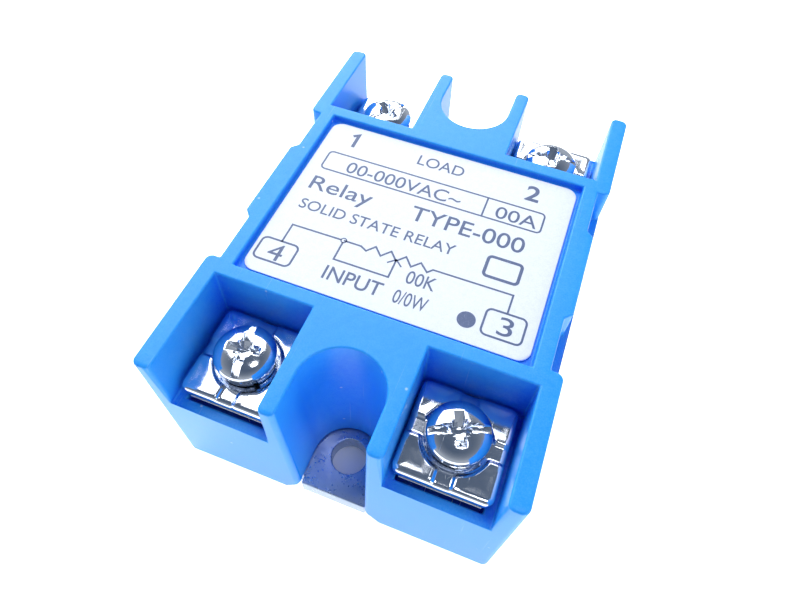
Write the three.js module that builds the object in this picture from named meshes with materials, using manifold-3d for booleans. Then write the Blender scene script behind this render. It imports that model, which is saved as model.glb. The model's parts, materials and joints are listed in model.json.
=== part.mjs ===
// A panel-mount solid state relay for phase control: a moulded housing on an aluminium base plate, four screw
// terminals with square clamp plates, and the power stage and trigger board inside.
// Frame: millimetres, +Z up from the underside of the base plate, origin at the centre of the footprint.
// The load terminals 1 (left) and 2 (right) are at +Y, the input terminals 4 (left) and 3 (right) at -Y.
import * as THREE from "three";
import { mergeVertices } from "three/addons/utils/BufferGeometryUtils.js";
import Module from "manifold-3d";

const wasm = await Module();
wasm.setup();

// ---------------------------------------------------------------- driving dimensions

// Housing, outside; its width and the length of its end blocks follow from the terminals and the notch
const housingLength = 62.2;
const housingTop = 26.5;
const outerWall = 2.3;
const ledgeInset = 0.1;
const rimHeight = 5.1;
const rimInset = 1.6;
const padLength = 14.6;
const padInset = 0.7;
const cornerRadius = 0.9;
const skirtLift = 0.3;
const wall = 1.8;

// Label and its recess
const recessSideInset = 3.65;
const recessEndWall = 2;
const recessDepth = 1;
const labelMargin = 0.5;
const labelThickness = 0.2;
const labelCornerRadius = 1.6;

// Terminal pockets, open at the ends of the housing
const pocketFloor = 17.4;
const pocketBackWall = 2.4;
const clampInnerGap = 0.3;
const clampOuterGap = 0.7;
const clampBackGap = 0.4;
const clampEndInset = 1.7;

// Fixing notches, drafted so that they narrow towards the base plate
const notchRadius = 5.2;
const notchArm = 2;
const notchReach = 5.5;
const notchFootScale = 0.9;
const notchChamferWidth = 2.2;

// Base plate
const plateThickness = 3;
const plateSideInset = 1.6;
const plateEndInset = 1.6;
const tongueEndInset = 0.5;
const plateCornerRadius = 1.5;
const plateSeatOverlap = 0.9;
const fixingHoleRadius = 2.5;
const fixingHoleReach = 6.3;

// Terminals
const tabWidth = 10;
const tabThickness = 2;
const tabProud = 0.5;
const loadLegWidth = 8;
const loadLegInset = 2.3;
const loadFootLength = 5.4;
const inputLegWidth = 3;
const inputLegThickness = 1.2;
const inputPinWidth = 1.2;
const inputPinLength = 1.1;

// Clamp plate
const clampSize = 12;
const clampThickness = 1.6;
const clampCornerRadius = 1;
const clampGrooveWidth = 2.1;
const clampGrooveDepth = 0.4;
const clampRingRadius = 4.3;

// Terminal screw, M4, and its spring washer
const screwRadius = 2;
const screwLength = 9;
const screwTipLength = 0.6;
const headRadius = 3.8;
const headHeight = 2.4;
const headEdgeHeight = 1.1;
const slotWidth = 1;
const slotDepth = 1;
const crossSpan = 4.4;
const crossWidth = 1.2;
const crossDepth = 1.6;
const washerOuterRadius = 3.6;
const washerThickness = 0.8;
const washerSplit = 0.7;
const washerSplitTurn = 35;
const wellDepth = 6;

// Resting turn of each screw, in degrees
const screwTurns = { 1: 52, 2: 8, 3: 22, 4: -80 };

// Power stage
const substrateSideGap = 2;
const substrateFrontY = -9.5;
const substrateThickness = 0.7;
const foilMargin = 0.6;
const foilThickness = 0.3;
const chipSize = 8;
const chipX = 9;
const chipY = -1;
const chipThickness = 0.4;
const clipWidth = 3;
const clipThickness = 0.6;
const clipRise = 1.6;
const clipOffsetY = 2.2;
const clipLandingX = 3.2;
const clipFootLength = 2.2;
const gateLeadRadius = 0.4;
const gateLeadOffsetY = 2.6;
const gelDepth = 4.2;

// Circuit board and what stands on it
const boardSideGap = 2.1;
const boardEndGap = 1.3;
const boardLegGap = 2.1;
const boardHeight = 6;
const boardThickness = 1.6;
const leadSize = 0.6;
const leadTail = 1.2;

// Clearances: between pieces that slide into or rest against each other, and across a glued or soldered joint
const fitGap = 0.3;
const filmGap = 0.1;

// Number of facets round a full turn
const roundFacets = 32;
const smallFacets = 12;
const cornerFacets = 4;

// ---------------------------------------------------------------- sizes that follow from them

const past = 2;

const pocketInnerX = notchRadius + notchArm;
const pocketWidth = clampInnerGap + clampSize + clampOuterGap;
const halfWidth = pocketInnerX + pocketWidth + outerWall;
const halfLength = housingLength / 2;
const endBlockLength = pocketBackWall + clampBackGap + clampSize + clampEndInset;
const blockInnerY = halfLength - endBlockLength;
const pocketInnerY = blockInnerY + pocketBackWall;
const ledgeTop = housingTop - rimHeight;
const recessHalfWidth = halfWidth - recessSideInset;
const recessHalfLength = pocketInnerY - recessEndWall;
const recessFloor = housingTop - recessDepth;

const terminalX = pocketInnerX + clampInnerGap + clampSize / 2;
const terminalY = pocketInnerY + clampBackGap + clampSize / 2;
const tabReach = clampSize / 2;
const notchCentreY = halfLength - notchReach;
const fixingHoleY = halfLength - fixingHoleReach;

const plateHalfWidth = halfWidth - plateSideInset;
const plateHalfLength = halfLength - plateEndInset;
const plateSeatTop = plateThickness + fitGap;
const cavityHalfWidth = plateHalfWidth - plateSeatOverlap;
const cavityHalfLength = plateHalfLength - plateSeatOverlap;
const upperCavityHalfWidth = halfWidth - rimInset - wall;
const upperCavityHalfLength = pocketInnerY - wall;
const notchWallRadius = notchRadius + wall;
const notchFootRadius = notchRadius * notchFootScale;

const tabTop = pocketFloor + tabProud;
const tabBottom = tabTop - tabThickness;
const seatBottom = tabBottom - fitGap;
const floorUnderside = seatBottom - wall;
const wellBottom = seatBottom - wellDepth;
const wellRadius = screwRadius + 2 * fitGap;
const tappedRadius = screwRadius + fitGap;

const clampBottom = tabTop + fitGap;
const clampTop = clampBottom + clampThickness;
const grooveFloor = clampTop - clampGrooveDepth;
const washerBottom = grooveFloor + fitGap;
const headBottom = washerBottom + washerThickness + fitGap;
const headTop = headBottom + headHeight;

const loadLegInnerY = upperCavityHalfLength - loadLegInset - tabThickness;
const loadFootInnerY = loadLegInnerY - loadFootLength;
const substrateHalfWidth = cavityHalfWidth - substrateSideGap;
const substrateBackY = loadLegInnerY + foilMargin;
const boardFrontY = -(upperCavityHalfLength - boardEndGap);
const boardBackY = loadLegInnerY - boardLegGap;

const substrateBottom = plateThickness + filmGap;
const foilBottom = substrateBottom + substrateThickness + filmGap;
const foilTop = foilBottom + foilThickness;
const chipBottom = foilTop + filmGap;
const chipTop = chipBottom + chipThickness;
const clipOnChip = chipTop + filmGap;
const clipOnFoil = foilTop + filmGap;
const gelTop = plateThickness + gelDepth;
const boardHalfWidth = upperCavityHalfWidth - boardSideGap;
const boardBottom = plateThickness + boardHeight;
const boardTop = boardBottom + boardThickness;
const standOff = boardTop + fitGap;
const leadBottom = boardBottom - leadTail;

// ---------------------------------------------------------------- geometry helpers

// A closed geometry as a solid that can be joined and cut.
function solidOf(geometry) {
  const bare = geometry.clone();
  bare.deleteAttribute("normal");
  bare.deleteAttribute("uv");
  const merged = mergeVertices(bare, 1e-4);
  return new wasm.Manifold(
    new wasm.Mesh({
      numProp: 3,
      vertProperties: new Float32Array(merged.attributes.position.array),
      triVerts: new Uint32Array(merged.index.array),
    }),
  );
}

// A solid as a geometry for a mesh.
function geometryOf(solid) {
  const cut = solid.getMesh();
  const geometry = new THREE.BufferGeometry();
  const position = new Float32Array(cut.numVert * 3);
  for (let i = 0; i < cut.numVert; i += 1) {
    position.set(cut.vertProperties.subarray(i * cut.numProp, i * cut.numProp + 3), i * 3);
  }
  geometry.setAttribute("position", new THREE.BufferAttribute(position, 3));
  geometry.setIndex(new THREE.BufferAttribute(new Uint32Array(cut.triVerts), 1));
  const flat = geometry.toNonIndexed();
  flat.computeVertexNormals();
  return flat;
}

function box(x0, x1, y0, y1, z0, z1) {
  const geometry = new THREE.BoxGeometry(x1 - x0, y1 - y0, z1 - z0);
  geometry.translate((x0 + x1) / 2, (y0 + y1) / 2, (z0 + z1) / 2);
  return solidOf(geometry);
}

// A box centred on x and y.
function block(x, y, width, length, z0, z1) {
  return box(x - width / 2, x + width / 2, y - length / 2, y + length / 2, z0, z1);
}

// An outline in plan, raised from z0 to z1.
function prism(shape, z0, z1, curveSegments = cornerFacets) {
  const geometry = new THREE.ExtrudeGeometry(shape, {
    depth: z1 - z0,
    bevelEnabled: false,
    curveSegments,
  });
  geometry.translate(0, 0, z0);
  return solidOf(geometry);
}

function cylinder(x, y, radius, z0, z1, facets = roundFacets) {
  const geometry = new THREE.CylinderGeometry(radius, radius, z1 - z0, facets);
  geometry.rotateX(Math.PI / 2);
  geometry.translate(x, y, (z0 + z1) / 2);
  return solidOf(geometry);
}

function roundedRectangle(x0, x1, y0, y1, radius) {
  const shape = new THREE.Shape();
  shape.moveTo(x0 + radius, y0);
  shape.lineTo(x1 - radius, y0);
  shape.absarc(x1 - radius, y0 + radius, radius, -Math.PI / 2, 0);
  shape.lineTo(x1, y1 - radius);
  shape.absarc(x1 - radius, y1 - radius, radius, 0, Math.PI / 2);
  shape.lineTo(x0 + radius, y1);
  shape.absarc(x0 + radius, y1 - radius, radius, Math.PI / 2, Math.PI);
  shape.lineTo(x0, y0 + radius);
  shape.absarc(x0 + radius, y0 + radius, radius, Math.PI, 1.5 * Math.PI);
  return shape;
}

function chamferedRectangle(x0, x1, y0, y1, chamfer) {
  const shape = new THREE.Shape();
  shape.moveTo(x0 + chamfer, y0);
  shape.lineTo(x1 - chamfer, y0);
  shape.lineTo(x1, y0 + chamfer);
  shape.lineTo(x1, y1 - chamfer);
  shape.lineTo(x1 - chamfer, y1);
  shape.lineTo(x0 + chamfer, y1);
  shape.lineTo(x0, y1 - chamfer);
  shape.lineTo(x0, y0 + chamfer);
  return shape;
}

// The plan of a notch that opens towards +Y: straight sides and a round back.
function notchPlan(radius, openY) {
  const shape = new THREE.Shape();
  shape.moveTo(radius, openY);
  shape.lineTo(-radius, openY);
  shape.lineTo(-radius, notchCentreY);
  shape.absarc(0, notchCentreY, radius, Math.PI, 2 * Math.PI);
  shape.lineTo(radius, openY);
  return shape;
}

// A strip bent along a list of points in the plane of (across, up), with mitred corners, as an outline.
function stripOutline(points, thickness) {
  const sides = points.slice(1).map((point, i) => {
    const along = point.clone().sub(points[i]).normalize();
    return new THREE.Vector2(-along.y, along.x);
  });
  const offsets = points.map((point, i) => {
    const before = sides[Math.max(i - 1, 0)];
    const after = sides[Math.min(i, sides.length - 1)];
    const middle = before.clone().add(after).normalize();
    return middle.multiplyScalar(thickness / 2 / middle.dot(before));
  });
  const left = points.map((point, i) => point.clone().add(offsets[i]));
  const right = points.map((point, i) => point.clone().sub(offsets[i]));
  return new THREE.Shape([...left, ...right.reverse()]);
}

// A strip whose outline is in the plane of (Y, Z), centred on x.
function stripAcrossX(points, thickness, x, width) {
  const geometry = new THREE.ExtrudeGeometry(stripOutline(points, thickness), {
    depth: width,
    bevelEnabled: false,
  });
  geometry.rotateY(Math.PI / 2);
  geometry.rotateX(Math.PI / 2);
  geometry.translate(x - width / 2, 0, 0);
  return solidOf(geometry);
}

// A strip whose outline is in the plane of (X, Z), centred on y.
function stripAcrossY(points, thickness, y, width) {
  const geometry = new THREE.ExtrudeGeometry(stripOutline(points, thickness), {
    depth: width,
    bevelEnabled: false,
  });
  geometry.rotateX(Math.PI / 2);
  geometry.translate(0, y + width / 2, 0);
  return solidOf(geometry);
}

function join(solids) {
  return solids.reduce((all, next) => all.add(next));
}

function cut(solid, tools) {
  return tools.reduce((left, tool) => left.subtract(tool), solid);
}

// The same solid turned half a turn about Z, for the other end of the relay.
function turnedSolid(solid) {
  return solid.rotate([0, 0, 180]);
}

function mirroredX(solid) {
  return solid.mirror([1, 0, 0]);
}

// ---------------------------------------------------------------- materials

function material(color, roughness, metalness) {
  return new THREE.MeshStandardMaterial({ color, roughness, metalness });
}

const materials = {
  bluePlastic: material(0x4aa8f5, 0.45, 0),
  aluminium: material(0xb9bdc6, 0.35, 1),
  labelPaper: material(0xeef2fa, 0.5, 0),
  nickelPlate: material(0xd9dce0, 0.18, 1),
  zincPlate: material(0xc9d2de, 0.22, 1),
  springSteel: material(0xaeb4bc, 0.3, 1),
  ceramic: material(0xf4f1ea, 0.6, 0),
  copper: material(0xc77b4a, 0.35, 1),
  silicon: material(0x555a66, 0.3, 0.4),
  boardGreen: material(0x1f6b3a, 0.5, 0),
  siliconeGel: material(0xd8dde2, 0.25, 0),
  capacitorFilm: material(0xc9a227, 0.45, 0),
  varistorBlue: material(0x2a5db0, 0.4, 0),
  resistorBody: material(0xcdb38b, 0.5, 0),
  glassDiac: material(0xb5482f, 0.2, 0),
};

// ---------------------------------------------------------------- housing

// The outside of the housing without its cuts: end blocks, a middle with a ledge, a rim and a pad on each side.
function housingOutside() {
  const ledgeX = halfWidth - ledgeInset;
  const rimX = halfWidth - rimInset;
  const padX = halfWidth - padInset;
  const blockPlan = roundedRectangle(-halfWidth, halfWidth, blockInnerY, halfLength, cornerRadius);
  const rearBlock = prism(blockPlan, skirtLift, housingTop);
  const reach = blockInnerY + endBlockLength / 2;
  const padPlan = chamferedRectangle(-padX, padX, -padLength / 2, padLength / 2, rimInset - padInset);
  return join([
    rearBlock,
    turnedSolid(rearBlock),
    box(-ledgeX, ledgeX, -reach, reach, skirtLift, ledgeTop),
    box(-rimX, rimX, -reach, reach, skirtLift, housingTop),
    prism(padPlan, ledgeTop - wall, housingTop),
  ]);
}

// A fixing notch at the +Y end, drafted from the top to its foot on the base plate.
function notchCutter() {
  const geometry = new THREE.ExtrudeGeometry(notchPlan(notchRadius, halfLength + past), {
    depth: housingTop,
    bevelEnabled: false,
    curveSegments: roundFacets / 2,
  });
  const position = geometry.attributes.position;
  for (let i = 0; i < position.count; i += 1) {
    const scale = THREE.MathUtils.lerp(notchFootScale, 1, position.getZ(i) / housingTop);
    const onBack = position.getY(i) <= notchCentreY;
    position.setX(i, position.getX(i) * scale);
    if (onBack) {
      position.setY(i, notchCentreY + (position.getY(i) - notchCentreY) * scale);
    }
  }
  geometry.translate(0, 0, fitGap / 2);
  return solidOf(geometry);
}

// The opening that lets the tongue of the base plate through the end wall, with sloping corners.
function tongueOpening() {
  const narrow = notchFootRadius;
  const outline = new THREE.Shape();
  outline.moveTo(-narrow - notchChamferWidth, -past);
  outline.lineTo(narrow + notchChamferWidth, -past);
  outline.lineTo(narrow + notchChamferWidth, skirtLift);
  outline.lineTo(narrow, plateSeatTop);
  outline.lineTo(-narrow, plateSeatTop);
  outline.lineTo(-narrow - notchChamferWidth, skirtLift);
  const geometry = new THREE.ExtrudeGeometry(outline, { depth: housingLength, bevelEnabled: false });
  geometry.rotateX(Math.PI / 2);
  geometry.translate(0, plateHalfLength - fitGap + housingLength, 0);
  return solidOf(geometry);
}

// A terminal pocket at the +X +Y corner, with the seat and wall slot of the tab and the well of the screw.
function pocketCutters() {
  const seatHalf = tabWidth / 2 + fitGap;
  const slotTop = tabTop + fitGap;
  const slotInner = upperCavityHalfLength - past;
  const tabEnd = terminalY + tabReach + fitGap;
  return [
    box(pocketInnerX, pocketInnerX + pocketWidth, pocketInnerY, halfLength + past, pocketFloor, housingTop + past),
    box(terminalX - seatHalf, terminalX + seatHalf, pocketInnerY - fitGap, tabEnd, seatBottom, pocketFloor + filmGap),
    box(terminalX - seatHalf, terminalX + seatHalf, slotInner, pocketInnerY + fitGap, seatBottom, slotTop),
    cylinder(terminalX, terminalY, wellRadius, wellBottom, seatBottom + filmGap),
  ];
}

// The hollow underneath: the seat of the plate, the low space under the pockets and the tall middle.
function cavity() {
  const seatX = plateHalfWidth + fitGap;
  const seatY = plateHalfLength + fitGap;
  const notchPlanOutside = notchPlan(notchWallRadius, halfLength + past);
  const notchWall = prism(notchPlanOutside, plateSeatTop, housingTop, roundFacets / 2);
  const boss = cylinder(terminalX, terminalY, wellRadius + wall, wellBottom - wall, housingTop);
  const bosses = [boss, mirroredX(boss), turnedSolid(boss), turnedSolid(mirroredX(boss))];
  const low = cut(
    box(-cavityHalfWidth, cavityHalfWidth, -cavityHalfLength, cavityHalfLength, 0, floorUnderside),
    [notchWall, turnedSolid(notchWall), ...bosses],
  );
  const seat = roundedRectangle(-seatX, seatX, -seatY, seatY, plateCornerRadius + fitGap);
  return join([
    prism(seat, -past, plateSeatTop),
    low,
    box(-cavityHalfWidth, cavityHalfWidth, -upperCavityHalfLength, upperCavityHalfLength, 0, ledgeTop - wall),
    box(
      -upperCavityHalfWidth,
      upperCavityHalfWidth,
      -upperCavityHalfLength,
      upperCavityHalfLength,
      0,
      recessFloor - wall,
    ),
  ]);
}

function housing() {
  const notch = notchCutter();
  const opening = tongueOpening();
  const pocket = pocketCutters();
  const recess = box(
    -recessHalfWidth,
    recessHalfWidth,
    -recessHalfLength,
    recessHalfLength,
    recessFloor,
    housingTop + past,
  );
  return cut(housingOutside(), [
    cavity(),
    notch,
    turnedSolid(notch),
    opening,
    turnedSolid(opening),
    ...pocket,
    ...pocket.map(mirroredX),
    ...pocket.map(turnedSolid),
    ...pocket.map(mirroredX).map(turnedSolid),
    recess,
  ]);
}

function label() {
  const x = recessHalfWidth - labelMargin;
  const y = recessHalfLength - labelMargin;
  const bottom = recessFloor + filmGap;
  return prism(roundedRectangle(-x, x, -y, y, labelCornerRadius), bottom, bottom + labelThickness);
}

// The plate has a tongue into each notch, with the hole of the fixing screw in it.
function basePlate() {
  const slab = roundedRectangle(
    -plateHalfWidth,
    plateHalfWidth,
    -plateHalfLength,
    plateHalfLength,
    plateCornerRadius,
  );
  const tongueEnd = halfLength - tongueEndInset;
  const holes = [-fixingHoleY, fixingHoleY].map((y) =>
    cylinder(0, y, fixingHoleRadius, -past, plateThickness + past),
  );
  const plate = join([
    prism(slab, 0, plateThickness),
    box(-notchFootRadius, notchFootRadius, -tongueEnd, tongueEnd, 0, plateThickness),
  ]);
  return cut(plate, holes);
}

// ---------------------------------------------------------------- terminals
// Each terminal is modelled round its screw axis, with +Y towards the end of the relay.

function tab() {
  const plate = block(0, 0, tabWidth, 2 * tabReach, tabBottom, tabTop);
  return cut(plate, [cylinder(0, 0, tappedRadius, tabBottom - past, tabTop + past)]);
}

// The path of the strip from the tab inwards and down to a foot on the copper foil, as (y, z) points.
function loadPath() {
  const middle = (tabTop + tabBottom) / 2;
  const legY = loadLegInnerY + tabThickness / 2 - terminalY;
  const footZ = clipOnFoil + tabThickness / 2;
  return [
    new THREE.Vector2(-tappedRadius - tabThickness, middle),
    new THREE.Vector2(legY, middle),
    new THREE.Vector2(legY, footZ),
    new THREE.Vector2(loadFootInnerY - terminalY, footZ),
  ];
}

function loadTerminal() {
  return join([tab(), stripAcrossX(loadPath(), tabThickness, 0, loadLegWidth)]);
}

// The input terminals are the same tab with a narrow leg that stands on the circuit board and a pin through it.
function inputTerminal() {
  const legY = inputLegCentreY() - terminalY;
  const tail = block(0, legY, inputPinWidth, inputPinLength, leadBottom, tabTop);
  const leg = block(0, legY, inputLegWidth, inputLegThickness, standOff, tabTop);
  const arm = box(
    -loadLegWidth / 2,
    loadLegWidth / 2,
    legY - inputLegThickness / 2,
    -tappedRadius - fitGap,
    tabBottom,
    tabTop,
  );
  return join([tab(), arm, leg, tail]);
}

function inputLegCentreY() {
  return -boardFrontY - inputLegThickness;
}

function clampPlate() {
  const half = clampSize / 2;
  const plan = roundedRectangle(-half, half, -half, half, clampCornerRadius);
  return cut(prism(plan, clampBottom, clampTop), [
    cylinder(0, 0, tappedRadius, clampBottom - past, clampTop + past),
    cylinder(0, 0, clampRingRadius, grooveFloor, clampTop + past),
    block(0, 0, clampSize + past, clampGrooveWidth, grooveFloor, clampTop + past),
    block(0, 0, clampGrooveWidth, clampSize + past, grooveFloor, clampTop + past),
  ]);
}

function springWasher() {
  const bottom = washerBottom;
  const top = washerBottom + washerThickness;
  const bite = box(0, washerOuterRadius + past, -washerSplit / 2, washerSplit / 2, bottom - past, top + past);
  return cut(cylinder(0, 0, washerOuterRadius, bottom, top), [
    cylinder(0, 0, tappedRadius, bottom - past, top + past),
    bite.rotate([0, 0, washerSplitTurn]),
  ]);
}

// Pan head with a slot across it and a cross recess, on a plain shank with a pointed end.
function terminalScrew() {
  const shankBottom = headBottom - screwLength;
  const profile = [
    new THREE.Vector2(0, shankBottom),
    new THREE.Vector2(screwRadius - screwTipLength, shankBottom),
    new THREE.Vector2(screwRadius, shankBottom + screwTipLength),
    new THREE.Vector2(screwRadius, headBottom),
    new THREE.Vector2(headRadius, headBottom),
  ];
  const domeSteps = 6;
  const domeHeight = headHeight - headEdgeHeight;
  for (let i = 0; i <= domeSteps; i += 1) {
    const angle = ((Math.PI / 2) * i) / domeSteps;
    profile.push(new THREE.Vector2(headRadius * Math.cos(angle), headTop - domeHeight * (1 - Math.sin(angle))));
  }
  profile[profile.length - 1].x = 0;
  const lathe = new THREE.LatheGeometry(profile, roundFacets);
  lathe.rotateX(Math.PI / 2);
  const turned = solidOf(lathe);
  return cut(turned, [
    block(0, 0, 2 * headRadius + past, slotWidth, headTop - slotDepth, headTop + past),
    block(0, 0, crossSpan, crossWidth, headTop - crossDepth, headTop + past),
    block(0, 0, crossWidth, crossSpan, headTop - crossDepth, headTop + past),
  ]);
}

// ---------------------------------------------------------------- power stage
// The functions with a grow value give the same shape swollen by it, which is how the gel is cut to fit.

function substrate(grow = 0) {
  const x = substrateHalfWidth + grow;
  const bottom = substrateBottom - grow;
  return box(-x, x, substrateFrontY - grow, substrateBackY + grow, bottom, bottom + substrateThickness + 2 * grow);
}

// One copper island on each side of the middle; side is -1 on the left and 1 on the right.
function foil(side, grow = 0) {
  const inner = foilMargin;
  const outer = substrateHalfWidth - foilMargin;
  const middle = (side * (inner + outer)) / 2;
  const half = (outer - inner) / 2 + grow;
  return box(
    middle - half,
    middle + half,
    substrateFrontY + foilMargin - grow,
    substrateBackY - foilMargin + grow,
    foilBottom - grow,
    foilTop + grow,
  );
}

function chip(side, grow = 0) {
  const size = chipSize + 2 * grow;
  return block(side * chipX, chipY, size, size, chipBottom - grow, chipTop + grow);
}

// A copper clip from the top of one chip over to the island of the other.
function crossClip(side, grow = 0) {
  const chipLevel = clipOnChip + clipThickness / 2;
  const foilLevel = clipOnFoil + clipThickness / 2;
  const bridgeLevel = chipLevel + clipRise;
  const points = [
    [side * (chipX + clipFootLength / 2 + grow), chipLevel],
    [side * (chipX - clipFootLength / 2), chipLevel],
    [side * (chipX - clipFootLength), bridgeLevel],
    [-side * (clipLandingX - clipFootLength / 2), bridgeLevel],
    [-side * clipLandingX, foilLevel],
    [-side * (clipLandingX + clipFootLength / 2 + grow), foilLevel],
  ].map(([x, z]) => new THREE.Vector2(x, z));
  const y = chipY - side * clipOffsetY;
  return stripAcrossY(side > 0 ? points.reverse() : points, clipThickness + 2 * grow, y, clipWidth + 2 * grow);
}

function gatePoint(side) {
  return [side * chipX, chipY + side * gateLeadOffsetY];
}

function gateLead(side, grow = 0) {
  const [x, y] = gatePoint(side);
  const top = standOff + leadSize;
  return cylinder(x, y, gateLeadRadius + grow, chipTop + filmGap - grow, top, smallFacets);
}

// Soft gel poured over the power stage up to gelTop.
function siliconeGel() {
  const x = cavityHalfWidth - fitGap;
  const y = upperCavityHalfLength - fitGap;
  const pool = box(-x, x, -y, y, plateSeatTop, gelTop);
  const legs = [-1, 1].map((side) => {
    const strip = stripAcrossX(loadPath(), tabThickness + 2 * fitGap, 0, loadLegWidth + 2 * fitGap);
    const footEnd = block(
      0,
      loadFootInnerY - terminalY,
      loadLegWidth + 2 * fitGap,
      2 * fitGap,
      clipOnFoil - fitGap,
      clipOnFoil + tabThickness + fitGap,
    );
    return strip.add(footEnd).translate([side * terminalX, terminalY, 0]);
  });
  const buried = [-1, 1].flatMap((side) => [
    foil(side, fitGap),
    chip(side, fitGap),
    crossClip(side, fitGap),
    gateLead(side, fitGap),
  ]);
  return cut(pool, [substrate(fitGap), ...buried, ...legs]);
}

// ---------------------------------------------------------------- circuit board

// Each component: where it stands, which way it lies, its size and the spread of its two leads.
const components = {
  snubber_capacitor: { x: -6.4, y: 4.6, width: 13, depth: 5, height: 10.5, spread: 10, stuff: "capacitorFilm" },
  timing_capacitor: { x: -4, y: -8.6, width: 7.5, depth: 3, height: 7, spread: 5, stuff: "capacitorFilm" },
  varistor: { x: 7.6, y: 5.6, radius: 4.6, depth: 3.6, spread: 5, stuff: "varistorBlue" },
  snubber_resistor: { x: -3, y: -1.6, radius: 1.6, length: 8.4, spread: 11.4, stuff: "resistorBody" },
  series_resistor: { x: 8, y: -6.2, radius: 1.2, length: 6.4, spread: 9, stuff: "resistorBody" },
  trigger_diac: { x: 8, y: -2, radius: 1, length: 4, spread: 7, stuff: "glassDiac" },
};

function leadPoints({ x, y, spread }) {
  return [-1, 1].map((side) => [x + (side * spread) / 2, y]);
}

function leads(component, top) {
  return leadPoints(component).map(([x, y]) => block(x, y, leadSize, leadSize, leadBottom, top));
}

// A boxed film capacitor standing on the board.
function boxedComponent(component) {
  const { x, y, width, depth, height } = component;
  const body = block(x, y, width, depth, standOff, standOff + height);
  return join([body, ...leads(component, standOff + leadSize)]);
}

// A disc standing on its edge.
function discComponent(component) {
  const { x, y, radius, depth } = component;
  const disc = new THREE.CylinderGeometry(radius, radius, depth, roundFacets);
  const middle = standOff + radius;
  disc.translate(x, y, middle);
  return join([solidOf(disc), ...leads(component, middle)]);
}

// A cylinder lying along X, with leads that bend down at each end.
function axialComponent(component) {
  const { x, y, radius, length, spread } = component;
  const middle = standOff + radius;
  const body = new THREE.CylinderGeometry(radius, radius, length, smallFacets);
  body.rotateZ(Math.PI / 2);
  body.translate(x, y, middle);
  const half = leadSize / 2;
  const across = block(x, y, spread + leadSize, leadSize, middle - half, middle + half);
  return join([solidOf(body), across, ...leads(component, middle + half)]);
}

function componentSolid(component) {
  if (component.height) return boxedComponent(component);
  if (component.length) return axialComponent(component);
  return discComponent(component);
}

function circuitBoard() {
  const leadHoles = Object.values(components).flatMap(leadPoints);
  const gateHoles = [-1, 1].map(gatePoint);
  const holes = [...leadHoles, ...gateHoles].map(([holeX, holeY]) =>
    cylinder(holeX, holeY, gateLeadRadius + fitGap, boardBottom - past, boardTop + past, smallFacets),
  );
  const slots = [-1, 1].map((side) =>
    block(
      side * terminalX,
      -inputLegCentreY(),
      inputPinWidth + 2 * fitGap,
      inputPinLength + 2 * fitGap,
      boardBottom - past,
      boardTop + past,
    ),
  );
  const board = box(-boardHalfWidth, boardHalfWidth, boardFrontY, boardBackY, boardBottom, boardTop);
  return cut(board, [...holes, ...slots]);
}

// ---------------------------------------------------------------- assembly

const relay = new THREE.Group();

function place(parent, name, solid, stuff) {
  const mesh = new THREE.Mesh(geometryOf(solid), materials[stuff]);
  mesh.name = name;
  parent.add(mesh);
  return mesh;
}

place(relay, "housing", housing(), "bluePlastic");
place(relay, "label", label(), "labelPaper");
place(relay, "base_plate", basePlate(), "aluminium");

const corners = [
  { number: 1, side: -1, end: 1 },
  { number: 2, side: 1, end: 1 },
  { number: 3, side: 1, end: -1 },
  { number: 4, side: -1, end: -1 },
];

for (const { number, side, end } of corners) {
  const isLoad = end > 0;
  const corner = new THREE.Group();
  corner.position.set(side * terminalX, end * terminalY, 0);
  corner.rotation.z = isLoad ? 0 : Math.PI;
  relay.add(corner);
  place(corner, isLoad ? `load_terminal_${number}` : `input_terminal_${number}`,
    isLoad ? loadTerminal() : inputTerminal(), "nickelPlate");
  place(corner, `clamp_plate_${number}`, clampPlate(), "zincPlate");
  const turn = THREE.MathUtils.degToRad(screwTurns[number]);
  place(corner, `terminal_screw_${number}`, terminalScrew(), "zincPlate").rotation.z = turn;
  place(corner, `spring_washer_${number}`, springWasher(), "springSteel").rotation.z = turn;
}

place(relay, "ceramic_substrate", substrate(), "ceramic");
for (const [index, side] of [-1, 1].entries()) {
  place(relay, `copper_foil_${index + 1}`, foil(side), "copper");
  place(relay, `thyristor_chip_${index + 1}`, chip(side), "silicon");
  place(relay, `cross_clip_${index + 1}`, crossClip(side), "copper");
  place(relay, `gate_lead_${index + 1}`, gateLead(side), "nickelPlate");
}
place(relay, "silicone_gel", siliconeGel(), "siliconeGel");

place(relay, "circuit_board", circuitBoard(), "boardGreen");
for (const [name, component] of Object.entries(components)) {
  place(relay, name, componentSolid(component), component.stuff);
}

export default relay;
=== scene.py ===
"""Looks of the solid state relay: blue moulded housing, printed label, stamped clamp plates
and pan head screws.

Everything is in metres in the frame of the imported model; lengths written in millimetres are multiplied by MM.
"""

import json
import math

import bmesh
import bpy
import numpy as np
from mathutils import Matrix, Vector

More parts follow.
